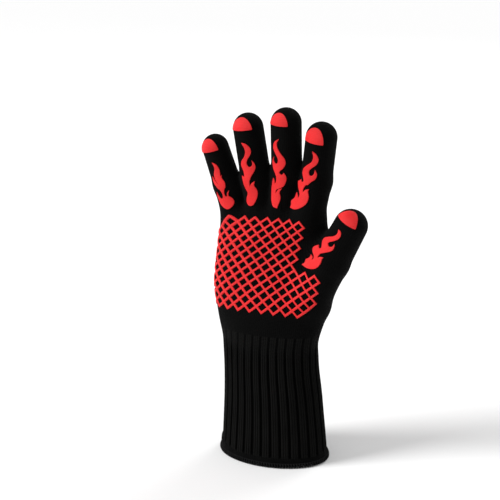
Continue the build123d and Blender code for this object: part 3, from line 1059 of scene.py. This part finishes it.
def make_pad(name, side, word):
    """The half moon over a digit's tip: straight below, round above."""
    shift, half, rise, lift = PADS[name]
    if side > 0:
        rise, lift = min(rise, BACK_PAD_RISE), min(lift, 0)
    _, _, high, _, t2, _, _ = digit_line(name)
    r = DIGITS[name][2][3]
    centre = high + lift * t2
    front, right = facing(t2, side)
    lean = shift / r
    middle = math.cos(lean) * front + math.sin(lean) * right
    across = math.cos(lean) * right - math.sin(lean) * front
    sweep = r * math.radians(rise) - lift * 0.6

    def flat(p):
        d = p - centre
        out, side_way, along_way = d @ middle, d @ across, d @ t2
        reach = np.linalg.norm(d, axis=-1) + 1e-6
        x = np.arcsin(np.clip(side_way / reach, -1, 1)) * r
        y = np.arctan2(along_way, np.maximum(out, 0.2)) * r
        round_top = (np.sqrt((x / half) ** 2 + (np.maximum(y, 0) / sweep) ** 2) - 1) * 9.0
        near = np.maximum(np.linalg.norm(p - high, axis=-1) - r - 5.0, others_nearer(p, name))
        return np.maximum(smooth_max(np.where(out > -2, round_top, 9.0), -along_way, 0.8), near)
    points, faces, normals = print_mesh(flat)
    add_print(f"pad_{name}_{word}", name + "_upper", points, faces, normals, f"{name}_pad_{word}")


class Section:
    """Length across the palm side (-1) or the back (+1) from its middle, over the thumb's base too."""
    STEP_X, STEP_Z, LOW_Z = 1.0, 2.0, 130

    def __init__(self, side):
        self.side = side
        z = np.arange(self.LOW_Z, 252, self.STEP_Z)
        x, z = np.meshgrid(np.arange(0, 80, self.STEP_X), z, indexing="ij")
        out = np.full_like(x, 60.0)
        for _ in range(60):
            gap = hand(np.stack([x, out * side, z], -1))
            out = np.maximum(out - 0.9 * np.clip(gap, 0, 5), -20)
        slope = np.clip(np.gradient(out, self.STEP_X, axis=0), -2, 2)
        length = np.cumsum(np.hypot(1, slope), 0) * self.STEP_X
        self.length = length - length[:1]

    def __call__(self, p):
        q = p * np.array([1, -self.side, 1])
        middle = trunk_girth(q * np.array([0, 1, 1]))
        right = read_table(self.length, p[..., 0] / self.STEP_X, (p[..., 2] - self.LOW_Z) / self.STEP_Z)
        return np.where(p[..., 0] > 0, middle + right, trunk_girth(q))


def make_lattice(side, node):
    """The crossed strips on the palm or the back, with a clearing at the back for the emblem."""
    box = ((-LATTICE_WRAP - 3, 136), (64, 248))
    shape = FlatShape(*box, lattice_distance(), 0.25)
    section = Section(side)

    def flat(p):
        girth = section(p)
        d = np.maximum(shape(girth, p[..., 2]), -LATTICE_WRAP - girth)
        d = np.maximum(d, side * -p[..., 1] - 6)
        if side > 0:
            clear = np.hypot(girth - EMBLEM[0], p[..., 2] - EMBLEM[1]) - EMBLEM_R - CLEARING
            d = np.maximum(d, -clear)
        return d
    points, faces, normals = print_mesh(flat, LATTICE_STEP)
    add_print("print_" + node, "palm", points, faces, normals, node)


def bar(q, a, b, half):
    """Distance to a round-ended bar."""
    a, b = np.array(a, float), np.array(b, float)
    ab = b - a
    t = np.clip((q - a) @ ab / (ab @ ab), 0, 1)
    return np.linalg.norm(q - a - t[..., None] * ab, axis=-1) - half


def turned(q, degrees):
    """Flat points turned clockwise."""
    c, s = math.cos(math.radians(degrees)), math.sin(math.radians(degrees))
    return np.stack([c * q[..., 0] + s * q[..., 1], c * q[..., 1] - s * q[..., 0]], -1)


def spatula(q):
    """A slotted spatula, upright."""
    blade = np.maximum(np.abs(q[..., 0]) - 5.0, np.abs(q[..., 1] - 11.5) - 6.0)
    slots = np.min([bar(q, (x, 8.5), (x, 14.5), 0.75) for x in (-2.6, 0, 2.6)], 0)
    return np.minimum(smooth_max(blade, -slots, 0.3), bar(q, (0, 6), (0, -15.5), 1.35))


def fork(q):
    """A three-pronged fork, upright."""
    prongs = np.min([bar(q, (x, 8), (x, 16.5), 0.95) for x in (-3.6, 0, 3.6)], 0)
    yoke = bar(q, (-3.6, 7.4), (3.6, 7.4), 1.2)
    return np.minimum(np.minimum(prongs, yoke), bar(q, (0, 7), (0, -15.5), 1.35))


def make_emblem():
    """A plain double ring with a crossed spatula and fork."""
    def rings(q):
        r = np.linalg.norm(q, axis=-1)
        return np.minimum(np.abs(r - EMBLEM_R + 1.4) - 1.4, np.abs(r - EMBLEM_R + 5.4) - 0.7)

    def tools(q):
        return np.minimum(spatula(turned(q, 42)), fork(turned(q, -42)))
    section = Section(1)
    for node, mark in (("emblem_ring", rings), ("emblem_tools", tools)):
        shape = FlatShape((-EMBLEM_R - 4,) * 2, (EMBLEM_R + 4,) * 2, mark, 0.2)

        def flat(p, shape=shape):
            girth = section(p)
            return np.maximum(shape(girth - EMBLEM[0], p[..., 2] - EMBLEM[1]), -p[..., 1] - 2)
        points, faces, normals = print_mesh(flat)
        add_print("print_" + node, "palm", points, faces, normals, node)


# ---- light, floor and camera ---------------------------------------------------------------------
VIEW_TURN, VIEW_RISE = 22.0, 16.0        # degrees round and above the object
VIEW_DISTANCE = 1150.0
VIEW_AIM = (0.0, 0.0, 180.0)
FOCAL = 2.415                            # focal length in widths of the frame
AIM_OFF = (0.049, 0.051)                 # where the aimed point falls, right of and below the middle
SENSOR = 36.0
FLOOR = 30.0                             # half the floor's width, in metres


def make_camera():
    """The camera, with the aimed point off the frame's middle by AIM_OFF."""
    turn, rise = math.radians(VIEW_TURN), math.radians(VIEW_RISE)
    back = np.array([math.sin(turn) * math.cos(rise), -math.cos(turn) * math.cos(rise), math.sin(rise)])
    right = np.array([math.cos(turn), math.sin(turn), 0.0])
    up = np.cross(back, right)
    place = np.array(VIEW_AIM) + back * VIEW_DISTANCE
    across, down = AIM_OFF[0] / FOCAL, AIM_OFF[1] / FOCAL
    aim = np.array(VIEW_AIM) + VIEW_DISTANCE * (up * down - right * across)
    data = bpy.data.cameras.new("camera")
    data.sensor_width = SENSOR
    data.lens = FOCAL * SENSOR
    bpy.context.scene.camera = add_aimed("camera", data, place * MM, aim - place)


def add_aimed(name, data, place, way):
    """A camera or light at a place in metres, looking along a way."""
    thing = bpy.data.objects.new(name, data)
    thing.location = place
    thing.rotation_mode = "QUATERNION"
    thing.rotation_quaternion = Vector(way).to_track_quat("-Z", "Y")
    bpy.context.scene.collection.objects.link(thing)
    return thing


def add_light(kind, name, place, aim, power, **settings):
    """A soft light at a place, aimed at a point, in metres."""
    data = bpy.data.lights.new(name, kind)
    data.energy = power
    for key, value in settings.items():
        setattr(data, key, value)
    add_aimed(name, data, place, Vector(aim) - Vector(place))


def make_stage():
    """A pale floor and soft lights."""
    n = Nodes("pale floor")
    n.feed(n.shader, {"Base Color": (0.87, 0.87, 0.87, 1), "Roughness": 0.85, "Specular IOR Level": 0.15})
    mesh = bpy.data.meshes.new("floor")
    corners = [(x * FLOOR, y * FLOOR, 0) for x, y in ((-1, -1), (1, -1), (1, 1), (-1, 1))]
    mesh.from_pydata(corners, [], [(0, 1, 2, 3)])
    mesh.materials.append(n.material)
    floor = bpy.data.objects.new("floor", mesh)
    bpy.context.scene.collection.objects.link(floor)
    add_light("SUN", "key", (-2.9, -2.0, 2.4), (0, 0, 0), 3.2, angle=math.radians(24))
    add_light("AREA", "back", (0.6, 2.6, 2.4), (0, 0, 0.2), 30, shape="DISK", size=1.6)
    world = bpy.data.worlds.new("studio")
    world.use_nodes = True
    sky = world.node_tree.nodes["Background"].inputs
    sky["Color"].default_value = (1, 1, 1, 1)
    sky["Strength"].default_value = 0.58
    bpy.context.scene.world = world
    bpy.context.scene.view_settings.view_transform = "Standard"


# ---- make everything -----------------------------------------------------------------------------
shell_pieces = make_hand()
HAND_POINTS = points_of(shell_pieces)
for left_name, right_name in zip(FINGERS, FINGERS[1:]):
    make_web(left_name, right_name)
    make_web(right_name, left_name)
make_cuff()
make_hem()
make_overlock()
make_cuff_lining()
make_hand_linings()
for digit_name in DIGITS:
    for side_way, side_word in ((-1, "palm"), (1, "back")):
        make_flame(digit_name, side_way, side_word)
        make_pad(digit_name, side_way, side_word)
make_lattice(-1, "palm_lattice")
make_lattice(1, "back_lattice")
make_emblem()
make_camera()
make_stage()
